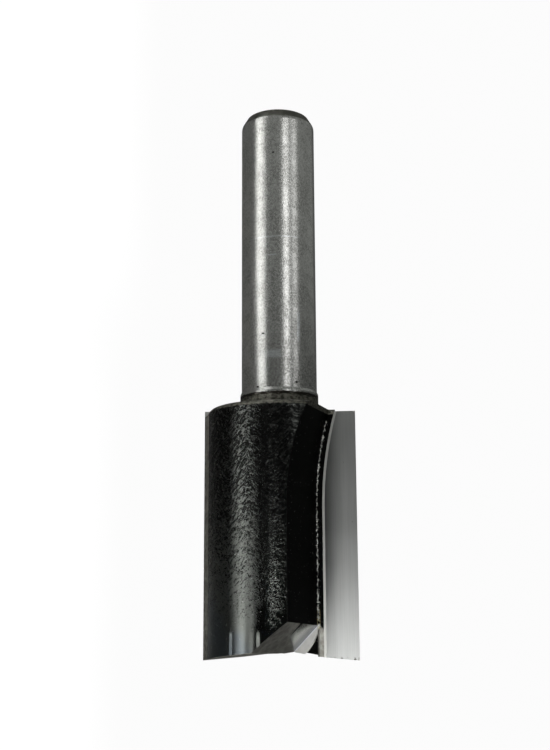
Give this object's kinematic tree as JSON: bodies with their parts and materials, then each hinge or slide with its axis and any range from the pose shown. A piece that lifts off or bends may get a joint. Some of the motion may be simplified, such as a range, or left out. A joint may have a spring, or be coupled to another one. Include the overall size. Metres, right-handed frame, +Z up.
{
  "type": "router bit",
  "caption": "Straight router bit with a plain round shank, a black fluted body, carbide tips brazed along its wings and a small slanted plunge tip in its end.",
  "frame": {"origin": "on the table, at the centre of the bounding box of the bit as it lies at rest", "axes": "+X along the bit's axis towards the cutting end, +Z up from the table, +Y across the bit"},
  "size_m": [0.0928, 0.024, 0.0209],
  "materials": {
    "steel": "ground shank, black painted body",
    "carbide": "satin ground",
    "braze": "satin"
  },
  "bodies": {
    "root": {"steel_body": "steel", "side_tip_a": "carbide", "side_tip_b": "carbide", "plunge_tip": "carbide", "side_braze_a": "braze", "side_braze_b": "braze", "plunge_braze": "braze"}
  },
  "joints": []
}
